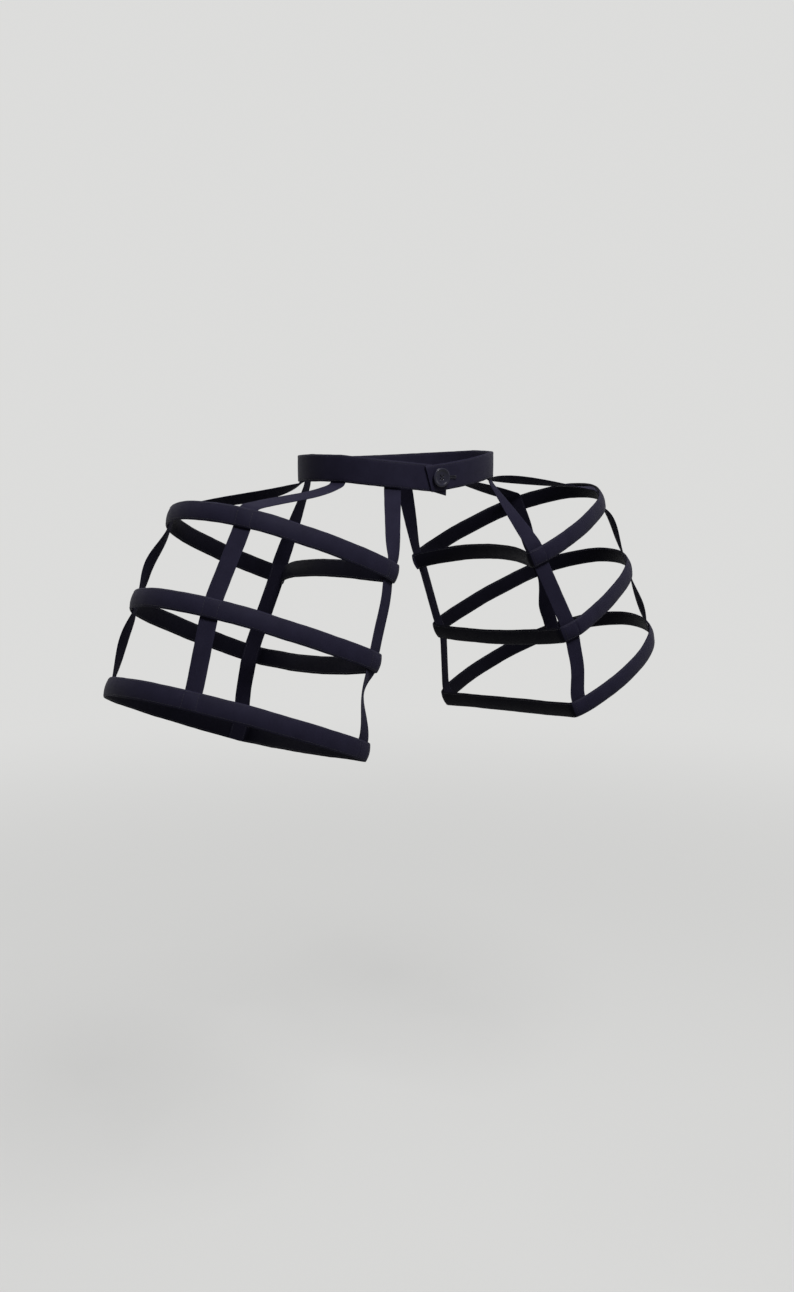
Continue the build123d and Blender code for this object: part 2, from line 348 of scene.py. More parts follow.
band_cloth = cloth_material(
    "band_cloth", dark=(0.0075, 0.0068, 0.0150), light=(0.029, 0.0265, 0.055),
    period=0.0009, weave="plain", relief=0.00012, rough=0.60, sheen=0.015, gloss=0.06)
# A darker rib cloth lining the inside of a band's bow; over the hip stretch it is also laid on both faces as
# painted shade
band_lining_and_shade = cloth_material(
    "band_lining_and_shade", dark=(0.0020, 0.0019, 0.0036), light=(0.009, 0.0085, 0.016),
    period=0.0007, weave="rib", relief=0.00006, rough=0.50, sheen=0.005, gloss=0.03)
strap_cloth = cloth_material(
    "strap_cloth", dark=(0.0080, 0.0074, 0.0160), light=(0.027, 0.0246, 0.049),
    period=0.0011, weave="herringbone", relief=0.00015, rough=0.75, sheen=0.02, gloss=0.05)
# A darker copy of the strap cloth, laid on each strap's inner face as painted shade; the tape is one cloth on
# both sides
strap_painted_shade = cloth_material(
    "strap_painted_shade", dark=(0.0038, 0.0035, 0.0074), light=(0.014, 0.0128, 0.026),
    period=0.0011, weave="herringbone", relief=0.00015, rough=0.75, sheen=0.01, gloss=0.04)
waist_cloth = cloth_material(
    "waist_cloth", dark=(0.0085, 0.0077, 0.0165), light=(0.030, 0.0272, 0.055),
    period=0.0008, weave="plain", relief=0.00010, rough=0.58, sheen=0.015, gloss=0.06)
sewing_thread = thread_material("sewing_thread", dark=(0.006, 0.006, 0.010), light=(0.040, 0.038, 0.056),
                                sheen=0.05, gloss=0.25)
button_plastic = hard_material(
    "button_plastic", dark=(0.004, 0.004, 0.010), light=(0.017, 0.016, 0.036), cloud_size=0.006,
    cloud_detail=5.0, scratch_size=0.0006, polish=(0.16, 0.36), bump=0.15, gloss=0.24, metallic=0.0)
bone_steel = hard_material(
    "bone_steel", dark=(0.07, 0.07, 0.08), light=(0.16, 0.16, 0.17), cloud_size=0.010,
    cloud_detail=4.0, scratch_size=0.0008, polish=(0.25, 0.50), bump=0.0, gloss=0.5, metallic=1.0)


# A tape is a line of stations: a middle, the way across, the way out, and how wide and thick it is there
Tape = namedtuple("Tape", "run middle across out wide thick closed")


def unit(vectors):
    return vectors / np.linalg.norm(vectors, axis=-1, keepdims=True)


# The distance of each point along their line
def runs_along(points):
    return np.concatenate([[0], np.cumsum(np.linalg.norm(np.diff(points, axis=0), axis=1))])


# Even points along a line of straight runs, with anything else that is given at its corners
def resample(points, step, *others):
    points = np.array(points, dtype=float)
    run = runs_along(points)
    even = np.linspace(0, run[-1], max(2, round(run[-1] / step)) + 1)
    spread = [np.stack([np.interp(even, run, column) for column in np.array(values, dtype=float).T], axis=1)
              for values in (points, *others)]
    return even, spread


# A running average, taken twice, rounds corners off
def soften(values, reach, step, closed):
    half = max(1, round(reach / step))
    mode = "wrap" if closed else "reflect"
    kind = {} if closed else {"reflect_type": "odd"}
    for _ in range(2):
        padded = np.pad(values, ((half, half), (0, 0)), mode=mode, **kind)
        total = np.cumsum(np.vstack([np.zeros((1, values.shape[1])), padded]), axis=0)
        values = (total[2 * half + 1:] - total[:-2 * half - 1]) / (2 * half + 1)
    return values


# Gentle unevenness that closes on itself round a ring
def swayed(sway, run, length, phase=0.0):
    starts = [phase + sway.phase + wave_phase_step * index for index in range(len(sway.waves))]
    waves = [np.sin(tau * count * run / length + start) for count, start in zip(sway.waves, starts)]
    return sway.amount * (sum(waves) / len(waves))


# Turns a tape's frame about its line
def turned(across, out, angles):
    cosine, sine = np.cos(angles)[:, None], np.sin(angles)[:, None]
    return across * cosine + out * sine, out * cosine - across * sine


# The stations of a tape at any distances along it
def stations_at(tape, run):
    columns = [np.stack([np.interp(run, tape.run, column) for column in values.T], axis=-1)
               for values in (tape.middle, tape.across, tape.out)]
    return (*columns, np.interp(run, tape.run, tape.wide), np.interp(run, tape.run, tape.thick))


# Points on a tape: how far along, how far across from its middle line, and how far out
def on_tape(tape, run, across, out):
    middle, across_way, out_way, wide, thick = stations_at(tape, run)
    return middle + across_way * (across * wide)[:, None] + out_way * (out * thick)[:, None]


# Half the thickness of a tape that is crowned across its width, with any padding of its outer face
def half_thickness(across, width, middle, edge, bulge=0.0):
    return edge / 2 + ((middle - edge) / 2 + bulge) * (1 - (2 * across / width) ** 2)


# The outline of a tape's section, down its outer face and up its inner one; doubled cloth shows a groove
def section(width, middle, edge, doubled, bulge=0.0):
    radius = edge / 4 if doubled else edge / 2
    reach = width / 2 - radius
    across = np.linspace(reach, -reach, face_columns)
    face = [(a, half_thickness(a, width, middle, edge)) for a in across]
    outer = [(a, half_thickness(a, width, middle, edge, bulge)) for a in across]
    if doubled:
        rim = [(-width / 2, radius), (-reach, 0.0), (-width / 2, -radius)]
    else:
        rim = [(-reach - radius * sin(turn), radius * cos(turn)) for turn in (pi / 4, pi / 2, 3 * pi / 4)]
    return np.array(outer + rim + [(-a, -d) for a, d in face + rim])


def new_object(name, vertices, faces, materials, smooth_angle=crease_angle):
    mesh = bpy.data.meshes.new(name)
    mesh.from_pydata([tuple(v) for v in vertices], [], faces)
    for material in materials:
        mesh.materials.append(material)
    mesh.shade_smooth()
    mesh.set_sharp_from_angle(angle=radians(smooth_angle))
    obj = bpy.data.objects.new(name, mesh)
    bpy.context.scene.collection.objects.link(obj)
    return obj


# Even points round a circle
def circle(radius, count):
    return [(radius * cos(tau * k / count), radius * sin(tau * k / count)) for k in range(count)]


# The quads between one ring of corners and the next
def ring_faces(first, second, count):
    return [[first + k, first + (k + 1) % count, second + (k + 1) % count, second + k] for k in range(count)]


# Sweeps a section along a tape; the cloth's own coordinates are metres along and across it. A tape with two
# materials takes its darker second one on its inner face (painted shade on straps, a lining cloth on bands)
# and, as painted shade, on both faces over the run that is given
def sweep(name, tape, outline, materials, side, shaded_both_faces=(0, 0)):
    across, out = outline[:, 0], outline[:, 1]
    count, sides = len(tape.run), len(outline)
    points = (tape.middle[:, None, :]
              + tape.across[:, None, :] * (across[None, :] * tape.wide[:, None])[..., None]
              + tape.out[:, None, :] * (out[None, :] * tape.thick[:, None])[..., None])
    if tape.closed:
        points = points[:-1]
        count -= 1
    faces, places, kinds = [], [], []
    for row in range(len(tape.run) - 1):
        for column in range(sides):
            beside = (column + 1) % sides
            corners = [(row, column), (row + 1, column), (row + 1, beside), (row, beside)][::side]
            faces.append([r % count * sides + c for r, c in corners])
            places += [(tape.run[r], across[c]) for r, c in corners]
            inner = out[column] + out[beside] < 0
            # Over the given run both faces take the darker second material, as painted shade
            both = shaded_both_faces[0] < tape.run[row] < shaded_both_faces[1]
            kinds.append(1 if len(materials) > 1 and (inner or both) else 0)
    if not tape.closed:
        first = list(range(sides))[::side]
        last = [(count - 1) * sides + column for column in range(sides)][::-side]
        faces += [first, last]
        places += [(tape.run[0], across[c]) for c in first]
        places += [(tape.run[-1], across[c % sides]) for c in last]
        kinds += [0, 0]
    obj = new_object(name, points.reshape(-1, 3), faces, materials)
    layer = obj.data.uv_layers.new(name="cloth")
    layer.data.foreach_set("uv", np.array(places, dtype=np.float32).ravel())
    obj.data.polygons.foreach_set("material_index", kinds)
    edge = obj.data.attributes.new("edge", "FLOAT", "POINT")
    nearness = np.clip(1 - (abs(across).max() - abs(across)) / stitch_inset, 0, 1)
    edge.data.foreach_set("value", np.tile(nearness, count).astype(np.float32))
    return obj


# Stitches as small arched capsules that dip into the cloth at both ends
def stitches(name, rows):
    starts, ends, lifts = (np.concatenate(columns) for columns in zip(*rows))
    along = unit(ends - starts)
    beside = unit(np.cross(along, lifts))
    blocks = []
    for share, size, rise in STITCH_RINGS:
        middle = starts + (ends - starts) * share + lifts * (stitch_radius * rise)
        blocks += [middle + beside * x + lifts * y for x, y in circle(stitch_radius * size, stitch_sides)]
    points = np.stack(blocks, axis=1).reshape(-1, 3)
    per_stitch = len(STITCH_RINGS) * stitch_sides
    pattern = [face for ring in range(len(STITCH_RINGS) - 1)
               for face in ring_faces(ring * stitch_sides, (ring + 1) * stitch_sides, stitch_sides)]
    pattern.append(list(range(stitch_sides))[::-1])
    pattern.append([per_stitch - stitch_sides + k for k in range(stitch_sides)])
    faces = [[index * per_stitch + corner for corner in face]
             for index in range(len(starts)) for face in pattern]
    return new_object(name, points, faces, [sewing_thread], no_crease_angle)


# A row of stitches along a tape, on its outer (1) or inner (-1) face
def row_along(tape, first, last, across, out, face):
    begins = np.arange(first, last - stitch_length, stitch_pitch)
    shift = np.full(len(begins), across)
    depth = np.full(len(begins), out * face)
    lifts = stations_at(tape, begins + stitch_length / 2)[2] * face
    ends = on_tape(tape, begins + stitch_length, shift, depth)
    return on_tape(tape, begins, shift, depth), ends, lifts


# A row of stitches across a tape, from edge to edge
def row_across(tape, run, width, depth_at, face):
    reach = width / 2 - stitch_inset
    begins = np.arange(-reach, reach - stitch_length, stitch_pitch)
    runs = np.full(len(begins), run)
    lifts = stations_at(tape, runs)[2] * face
    starts = on_tape(tape, runs, begins, depth_at(begins) * face)
    ends = on_tape(tape, runs, begins + stitch_length, depth_at(begins + stitch_length) * face)
    return starts, ends, lifts


# The hoops of one side share a tipped frame: x outwards, y to the back, z square to the hoops
def pannier_axes():
    out, back = radians(hoop_tilt_out), radians(hoop_tilt_back)
    outwards = Vector((cos(out), -sin(out) * sin(back), sin(out) * cos(back)))
    upwards = Vector((-sin(out), -cos(out) * sin(back), cos(out) * cos(back)))
    return outwards, upwards.cross(outwards), upwards


def hoop_place(hoop, x, y, z=0.0):
    outwards, backwards, upwards = pannier_axes()
    middle = Vector((pannier_out, pannier_back, -pannier_drop))
    return (middle + outwards * (x - hoop.shift_in) + backwards * (y - hoop.shift_front)
            + upwards * (z - hoop.drop))


# The hoops of one side, with that side's own reach, depths and sags
def side_hoops(side):
    reach = hip_reaches[side]
    hoops = {}
    for name, hoop in HOOPS.items():
        depth = hoop.depth + reach + depth_changes[side].get(name, 0)
        hoops[name] = hoop._replace(depth=depth, shift_in=hoop.shift_in + reach,
                                    bow_sag=bow_sags[side].get(name, hoop.bow_sag))
    return hoops


def arc(centre, radius, start, sweep_angle):
    count = max(2, round(abs(radius * sweep_angle) / path_step))
    angles = [start + sweep_angle * index / count for index in range(count + 1)]
    return [(centre[0] + radius * cos(angle), centre[1] + radius * sin(angle)) for angle in angles]


# The bow is three tangent arcs: a long leg, a round crown and the mirrored leg
def bow_points(hoop):
    crown_x = hoop.depth - hoop.crown_radius
    reach_x, reach_y = facet_out - crown_x, hoop.span / 2
    turn = radians(crown_half_angle)
    along = reach_x * cos(turn) + reach_y * sin(turn)
    excess = (reach_x**2 + reach_y**2 - hoop.crown_radius**2) / (2 * (hoop.crown_radius - along))
    leg_radius = hoop.crown_radius + excess
    leg_x, leg_y = crown_x - excess * cos(turn), -excess * sin(turn)
    leg_start = atan2(reach_y - leg_y, facet_out - leg_x)
    back_leg = arc((leg_x, leg_y), leg_radius, leg_start, turn - leg_start)
    crown = arc((crown_x, 0), hoop.crown_radius, turn, -2 * turn)
    front_leg = arc((leg_x, -leg_y), leg_radius, -turn, turn - leg_start)
    return back_leg + crown[1:] + front_leg[1:]


# The hip side bows out round the body, between the two corners
def hip_points(hoop):
    half = hoop.span / 2 - facet_rise
    radius = (half**2 + hoop.hip_bulge**2) / (2 * hoop.hip_bulge)
    opening = atan2(half, radius - hoop.hip_bulge)
    return arc((hoop.hip_bulge - radius, 0), radius, -opening, 2 * opening)


def path_length(points):
    return sum(hypot(b[0] - a[0], b[1] - a[1]) for a, b in zip(points, points[1:]))


# Where straps cross a hoop: distance along the ring, the place, the way along the ring and the way inside
Seat = namedtuple("Seat", "run x y along inward")


def corner_seat(hoop, end):
    along = Vector((facet_out, end * facet_rise)).normalized()
    corner = Vector((0, end * (hoop.span / 2 - facet_rise)))
    middle = corner + along * (strap_corner_ease + strap_width / 2)
    bow = path_length(bow_points(hoop))
    from_bow = strap_leg_ease + strap_width / 2
    hip = path_length(hip_points(hoop))
    run = bow + 2 * facet_length + hip - from_bow if end > 0 else bow + from_bow
    return Seat(run, middle.x, middle.y, along, Vector((along.y, -along.x)) * end)


def bow_seat(hoop, share):
    run, spread = resample(bow_points(hoop), path_step)
    index = round(share * (len(run) - 1))
    here, after = Vector(spread[0][index]), Vector(spread[0][index + 1])
    along = (after - here).normalized()
    return Seat(run[index], here.x, here.y, -along, Vector((along.y, -along.x)))


# The four straps of one side: the angle where each leaves the waist and its seat on a hoop
def side_straps(side):
    return {
        "back": (back_strap_angles[side], lambda hoop: corner_seat(hoop, 1)),
        "outer_back": (outer_back_strap_angle, lambda hoop: bow_seat(hoop, outer_back_strap_share)),
        "outer_front": (outer_front_strap_angle, lambda hoop: bow_seat(hoop, outer_front_strap_shares[side])),
        "front": (front_strap_angle, lambda hoop: corner_seat(hoop, -1)),
    }


# Where the straps' middles cross a hoop, as distances along its ring
def crossings(hoop, side):
    return [seat(hoop).run for _, seat in side_straps(side).values()]


def mirrored(values, side):
    return values * np.array([side, 1.0, 1.0])


# A hoop's band as a tape, pinched along the seams that hold its straps, with the length of its bow
def band_tape(hoop, side, phase):
    bow, hip = bow_points(hoop), hip_points(hoop)
    bow_length, hip_length = path_length(bow), path_length(hip)
    run, spread = resample(bow + hip + bow[:1], path_step)
    flat = soften(spread[0][:-1], corner_softness, path_step, True)
    flat, run = flat[::station_stride], run[:-1][::station_stride]
    ahead = unit(np.roll(flat, -1, axis=0) - np.roll(flat, 1, axis=0))
    length = bow_length + hip_length + 2 * facet_length
    outwards, backwards, upwards = (np.array(axis) for axis in pannier_axes())
    out = np.outer(-ahead[:, 1], outwards) + np.outer(ahead[:, 0], backwards)
    across = np.tile(upwards, (len(run), 1))
    origin = np.array(hoop_place(hoop, 0, 0))
    middle = origin + np.outer(flat[:, 0], outwards) + np.outer(flat[:, 1], backwards)
    on_hip = np.clip((run - bow_length - facet_length) / hip_length, 0, 1)
    on_bow = np.clip(run / bow_length, 0, 1)
    back_sag, front_sag = hoop.bow_sag
    middle[:, 2] -= hoop.hip_sag * np.sin(pi * on_hip)
    middle -= np.outer(np.sin(pi * on_bow) * (back_sag * (1 - on_bow) + front_sag * on_bow), upwards)
    middle += np.outer(hoop.hip_fullness * np.sin(pi * on_hip**hip_fullness_skew), outwards)
    middle += across * swayed(band_place_sway, run, length, phase)[:, None]
    across, out = turned(across, out, swayed(band_tilt_sway, run, length, phase))
    wide = 1 + swayed(band_width_sway, run, length, phase)
    thick = 1 + swayed(band_thickness_sway, run, length, phase)
    for centre in crossings(hoop, side):
        for seam in (centre - strap_width / 2, centre + strap_width / 2):
            thick = thick - seam_groove_share * np.exp(-((run - seam) / seam_groove_width) ** 2)
        thick = thick + crossing_swell_share * np.exp(-((run - centre) / crossing_swell_reach) ** 4)
    rows = [mirrored(values, side) for values in (middle, across, out)]
    closed = [np.vstack([values, values[:1]]) for values in rows]
    wide, thick = np.append(wide, wide[0]), np.append(thick, thick[0])
    return Tape(np.append(run, length), *closed, wide, thick, True), bow_length


# The opening in a band's inner face where its bone goes in, as a cutter
def bone_opening(name, tape, side):
    first = bone_end_gap - bone_clearance
    reach = bone_width / 2 + bone_clearance
    spots = [(run, across, out) for out in (-band_thickness, -bone_thickness / 2 - bone_clearance)
             for run, across in ((first, -reach), (first + bone_slit_length, -reach),
                                 (first + bone_slit_length, reach), (first, reach))]
    points = on_tape(tape, *(np.array(column) for column in zip(*spots)))
    faces = [[0, 1, 2, 3], [7, 6, 5, 4], [0, 4, 5, 1], [1, 5, 6, 2], [2, 6, 7, 3], [3, 7, 4, 0]]
    return new_object(name, points, [face[::side] for face in faces], [])


# Edge stitching on both faces of a band, two rows at each strap and two beside the bone's opening
def band_stitches(name, tape, hoop, side):
    def depth_at(across):
        return half_thickness(across, band_width, band_thickness, band_edge_thickness)

    def outer_depth_at(across):
        return half_thickness(across, band_width, band_thickness, band_edge_thickness, band_bulge)
    offset = band_width / 2 - stitch_inset
    rows = [row_along(tape, 0, tape.run[-1], edge, depth(edge), face)
            for edge in (-offset, offset) for face, depth in ((1, outer_depth_at), (-1, depth_at))]
    for centre in crossings(hoop, side):
        for seam in (centre - strap_width / 2 + stitch_inset, centre + strap_width / 2 - stitch_inset):
            rows.append(row_across(tape, seam, band_width, outer_depth_at, 1))
    opening = bone_end_gap - bone_clearance
    for run in (opening - stitch_inset / 2, opening + bone_slit_length + stitch_inset / 2):
        rows.append(row_across(tape, run, band_width, depth_at, -1))
    return stitches(name, rows)


# The way out of the waist loop, at an angle from the middle of the back round by the wearer's left
def waist_normal(angle):
    across, along = sin(radians(angle)), cos(radians(angle))
    return Vector((across / waist_half_width**2, along / waist_half_depth**2, 0)).normalized()


def waist_point(angle, outward, height):
    across, along = sin(radians(angle)), cos(radians(angle))
    reach = 1 / hypot(across / waist_half_width, along / waist_half_depth)
    return Vector((reach * across, reach * along, height)) + waist_normal(angle) * outward


# Heights round the waist, by the wearer's left (1) or right (-1): it dips in front, at the closure and, under
# the lap, at the hidden end
def waist_height(angle, side):
    front = max(0, -cos(radians(angle)))
    past = side * (angle - closure_angle) / closure_dip_run_angle
    hidden = max(0, closure_angle - angle) / (closure_angle - under_end_angle) if side > 0 else 0
    return -front_dip * front - closure_dip * max(1 - past, 0) - under_end_droop * hidden


# The under end steps in, to lie behind the over end
def lap_inset(angle):
    ramp = (lap_ramp_end_angle - angle) / (lap_ramp_end_angle - lap_ramp_start_angle)
    ramp = min(1, max(0, ramp))
    return (waistband_thickness + lap_clearance) * ramp**2 * (3 - 2 * ramp)


# The waistband as one long tape, from its under end round the front to its over end
def waist_tape():
    angles = np.linspace(under_end_angle, 360 + over_end_angle, waist_stations)
    heights = [waist_height(a, 1) if a < 180 else waist_height(a - 360, -1) for a in angles]
    middle = np.array([waist_point(a, -lap_inset(a), height) for a, height in zip(angles, heights)])
    out = np.array([waist_normal(a) for a in angles])
    run = runs_along(middle)
    ahead = unit(np.gradient(middle, axis=0))
    lean = np.clip(1 - (run[-1] - run) / over_end_lean_run, 0, 1) ** 2 * tan(radians(over_end_lean))
    across = np.array([0.0, 0.0, 1.0]) - ahead * lean[:, None]
    wide = 1 + swayed(waist_width_sway, run, run[-1])
    thick = 1 + swayed(waist_thickness_sway, run, run[-1])
    return Tape(run, middle, across, out, wide, thick, False)


# Points given in the button's own frame, whose z leaves the face of the over end
def on_button(points):
    surface = waist_point(button_angle, waistband_thickness / 2, waist_height(button_angle, -1))
    outwards = waist_normal(button_angle)
    sideways = Vector((0, 0, 1)).cross(outwards)
    turn = Matrix((sideways, outwards.cross(sideways), outwards)).transposed()
    return [surface + turn @ Vector(point) for point in points]


# A prism with the given outline, square to the button's face, used as a cutter
def button_prism(name, outline, low, high):
    count = len(outline)
    points = on_button([(x, y, low) for x, y in outline] + [(x, y, high) for x, y in outline])
    faces = [list(range(count))[::-1], list(range(count, 2 * count))] + ring_faces(0, count, count)
    return new_object(name, points, faces, [])


# Cuts other objects out of one, keeps the result as plain mesh and removes the cutters
def cut(obj, *cutters):
    for cutter in cutters:
        modifier = obj.modifiers.new("cut", "BOOLEAN")
        modifier.operation = "DIFFERENCE"
        modifier.solver = "EXACT"
        modifier.object = cutter
    done = obj.evaluated_get(bpy.context.evaluated_depsgraph_get())
    mesh = bpy.data.meshes.new_from_object(done)
    obj.modifiers.clear()
    obj.data = mesh
    for cutter in cutters:
        bpy.data.objects.remove(cutter)


# The keyhole: a round eye under the button and a slit away from the over end
def keyhole_sizes():
    eye = buttonhole_eye_diameter / 2
    return eye, slit_gape / 2, buttonhole_length - eye


def keyhole_outline():
    eye, half, far = keyhole_sizes()
    gap = atan2(half, eye)
    turns = np.linspace(gap, tau - gap, eye_points)
    return [(eye * cos(turn), eye * sin(turn)) for turn in turns] + [(far, -half), (far, half)]


# Close stitches along both sides of the slit and round the eye, and a bar across the slit's end
def keyhole_stitches():
    eye, half, far = keyhole_sizes()
    round_eye, beside_slit = eye + keyhole_stitch_reach, half + keyhole_stitch_reach
    starts, ends = [], []
    for x in np.arange(eye, far, keyhole_stitch_pitch):
        for way in (1, -1):
            starts.append((x, way * half * slit_cover_share, 0))
            ends.append((x, way * beside_slit, 0))
    for turn in np.arange(eye_stitch_gap, tau - eye_stitch_gap, eye_stitch_turn):
        starts.append((eye * cos(turn), eye * sin(turn), 0))
        ends.append((round_eye * cos(turn), round_eye * sin(turn), 0))
    for x in np.arange(far, far + keyhole_stitch_reach, bar_stitch_pitch):
        starts.append((x, -beside_slit, 0))
        ends.append((x, beside_slit, 0))
    lift = np.array(waist_normal(button_angle))
    return np.array(on_button(starts)), np.array(on_button(ends)), np.tile(lift, (len(starts), 1))


# A strap's line: behind the waistband, down past each hoop on its inner face, standing off each curve by as
# much as that rises over the strap's width
def strap_tape(angle, seat, side, hang, phase):
    inset = waistband_thickness / 2 + strap_clearance + strap_thickness / 2
    inset += strap_width**2 / (8 * waist_half_depth**2 / waist_half_width)
    lower_edge = waist_height(side * angle, side) - waistband_height / 2
    around = Vector((0, 0, 1)).cross(waist_normal(angle))
    points = [waist_point(angle, -inset, lower_edge + strap_tuck),
              waist_point(angle, -inset, lower_edge - strap_waist_room)]
    across = [around, around]
    depth = band_thickness / 2 + strap_clearance + strap_thickness / 2
    outwards, backwards, _ = pannier_axes()
    for name, hoop in side_hoops(side).items():
        here = seat(hoop)
        lift = depth + strap_width**2 / (8 * hoop.crown_radius)
        x, y = here.x + here.inward.x * lift, here.y + here.inward.y * lift
        half = band_width / 2
        along = outwards * here.along.x + backwards * here.along.y
        along = along if along.dot(across[-1]) > 0 else -along
        room_below = 0 if name == "bottom" else strap_hoop_room
        for height in (half + strap_hoop_room, -half - room_below):
            points.append(hoop_place(hoop, x, y, height))
            across.append(along)
    corners = np.cumsum([0] + [(after - before).length for before, after in zip(points, points[1:])])
    run, (middle, across) = resample(points, path_step, across)
    middle = soften(middle, strap_softness, path_step, False)
    across = soften(across, strap_softness, path_step, False)
    keep = np.append(np.arange(0, len(run) - 1, station_stride), len(run) - 1)
    run, middle, across = run[keep], middle[keep], across[keep]
    turn = np.zeros(len(run))
    across, out = strap_frame(middle, across)
    for first, degrees_turned, peak, (bow_out, bow_side) in zip(FREE_RUNS, *hang):
        share = np.clip((run - corners[first]) / (corners[first + 1] - corners[first]), 0, 1)
        swing = np.sin(pi * share ** (log(0.5) / log(peak)))
        turn += radians(degrees_turned) * swing
        bell = swing[:, None] ** 2
        middle = middle + (out * bow_out + across * bow_side) * bell
    across, out = strap_frame(middle, across)
    across, out = turned(across, out, turn)
    wide = 1 + swayed(strap_width_sway, run, run[-1], phase)
    thick = 1 + swayed(strap_thickness_sway, run, run[-1], phase)
    rows = [mirrored(values, side) for values in (middle, -across, out)]
    return Tape(run, *rows, wide, thick, False), corners


# Squares a strap's frame to its line
def strap_frame(middle, across):
    ahead = unit(np.gradient(middle, axis=0))
    across = unit(across - ahead * np.sum(across * ahead, axis=1, keepdims=True))
    return across, np.cross(ahead, across)


# Stitches on a strap's inner face: two rows down each seat and two across its upper end
def strap_stitches(name, tape, corners):
    def depth_at(across):
        return half_thickness(across, strap_width, strap_thickness, strap_edge_thickness)
    offset = strap_width / 2 - stitch_inset
    rows = [row_along(tape, corners[seat] + stitch_inset, corners[seat + 1] - stitch_inset,
                      edge, depth_at(edge), -1)
            for seat in SEATS for edge in (-offset, offset)]
    rows += [row_across(tape, run, strap_width, depth_at, -1)
             for run in (stitch_inset, strap_tuck - stitch_inset)]
    return stitches(name, rows)


# Turns an outline of (radius, height) points round the button's axis
def lathe(name, profile, count, material):
    inner = profile[1:-1]
    points = [(0, 0, profile[0][1])]
    points += [(x, y, height) for radius, height in inner for x, y in circle(radius, count)]
    points.append((0, 0, profile[-1][1]))
    last = len(points) - 1
    faces = [[0, 1 + (k + 1) % count, 1 + k] for k in range(count)]
    for ring in range(len(inner) - 1):
        faces += ring_faces(1 + ring * count, 1 + (ring + 1) * count, count)
    top = 1 + (len(inner) - 1) * count
    faces += [[top + k, top + (k + 1) % count, last] for k in range(count)]
    return new_object(name, on_button(points), faces, [material], button_crease_angle)


# The button's outline from the middle of its back to the middle of its dish, in shares of radius and height
BUTTON_BACK_SHARES = [(0.0, 0.0), (0.74, 0.0), (0.90, 0.05), (0.97, 0.20), (1.0, 0.45)]
BUTTON_RIM_SHARES = [(0.985, 0.72), (0.95, 0.90), (0.89, 1.0), (0.82, 0.98)]
BUTTON_DISH_SHARES = [(0.75, 0.75), (0.69, 0.35), (0.60, 0.08), (0.45, 0.0), (0.0, 0.0)]


def button_piece():
    radius = button_diameter / 2
    dish = button_thickness - button_dish_depth
    profile = [(r * radius, button_clearance + h * button_thickness)
               for r, h in BUTTON_BACK_SHARES + BUTTON_RIM_SHARES]
    profile += [(r * radius, button_clearance + dish + h * button_dish_depth) for r, h in BUTTON_DISH_SHARES]
    disc = lathe("button_disc", profile, button_sides, button_plastic)
    half = sewing_hole_spacing / 2
    hole = circle(sewing_hole_diameter / 2, hole_sides)
    cutters = [button_prism("hole", [(x + dx, y + dy) for x, y in hole],
                            -button_thickness, 2 * button_thickness)
               for dx in (-half, half) for dy in (-half, half)]
    cut(disc, *cutters)
    return disc


# A round strand along a line of points; its first side only has to differ from the line's way
def strand(points, radius, first_side=(0.31, 0.52, 0.79)):
    points = np.array(points, dtype=float)
    ahead = unit(np.gradient(points, axis=0))
    sides, beside = strand_sides, np.array(first_side)
    vertices, faces = [], []
    for point, way in zip(points, ahead):
        beside = unit(beside - way * np.dot(beside, way))
        above = np.cross(way, beside)
        vertices += [point + beside * x + above * y for x, y in circle(radius, sides)]
    for row in range(len(points) - 1):
        faces += ring_faces(row * sides, (row + 1) * sides, sides)
    faces += [list(range(sides))[::-1], [len(vertices) - sides + k for k in range(sides)]]
    return vertices, faces


# Thread loops through the four holes and a wound shank between the button and the under end
def button_thread_piece():
    half = sewing_hole_spacing / 2
    radius = sewing_thread_diameter / 2
    top = button_clearance + button_thickness - button_dish_depth
    foot = -waistband_thickness - lap_clearance
    bend = half * strand_bend_share
    lines = []
    for y in (-half, half):
        for shift in strand_shifts:
            level = y + shift * sewing_thread_diameter * strand_top_spread
            inside = y + shift * sewing_thread_diameter * strand_hole_spread
            rise = top + radius * (strand_middle_rise if shift == 0 else 1.0)
            stitch = [(-half, inside, foot + radius), (-half, inside, top - radius), (-bend, level, rise),
                      (0, level, rise + radius), (bend, level, rise), (half, inside, top - radius),
                      (half, inside, foot + radius)]
            _, spread = resample(stitch, strand_step)
            lines.append(soften(spread[0], strand_softness, strand_step, False))
    reach = half * shank_reach_share + 2 * radius
    last = shank_turns * shank_turn_points
    wound = []
    for k in range(last + 1):
        turn = tau * k / shank_turn_points
        height = foot + radius * 2 + (button_clearance - foot - radius * 4) * k / last
        wound.append((reach * cos(turn), reach * sin(turn), height))
    vertices, faces = [], []
    for line in lines + [wound]:
        more, rounds = strand(on_button(line), radius)
        faces += [[len(vertices) + corner for corner in face] for face in rounds]
        vertices += more
    return new_object("button_sewing", vertices, faces, [sewing_thread], no_crease_angle)


# A piece that goes along with the part, and one that also stands in for its nodes
def follow(obj):
    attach(obj, "root")


def settle(obj, slot, *nodes):
    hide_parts(*nodes)
    follow(obj)


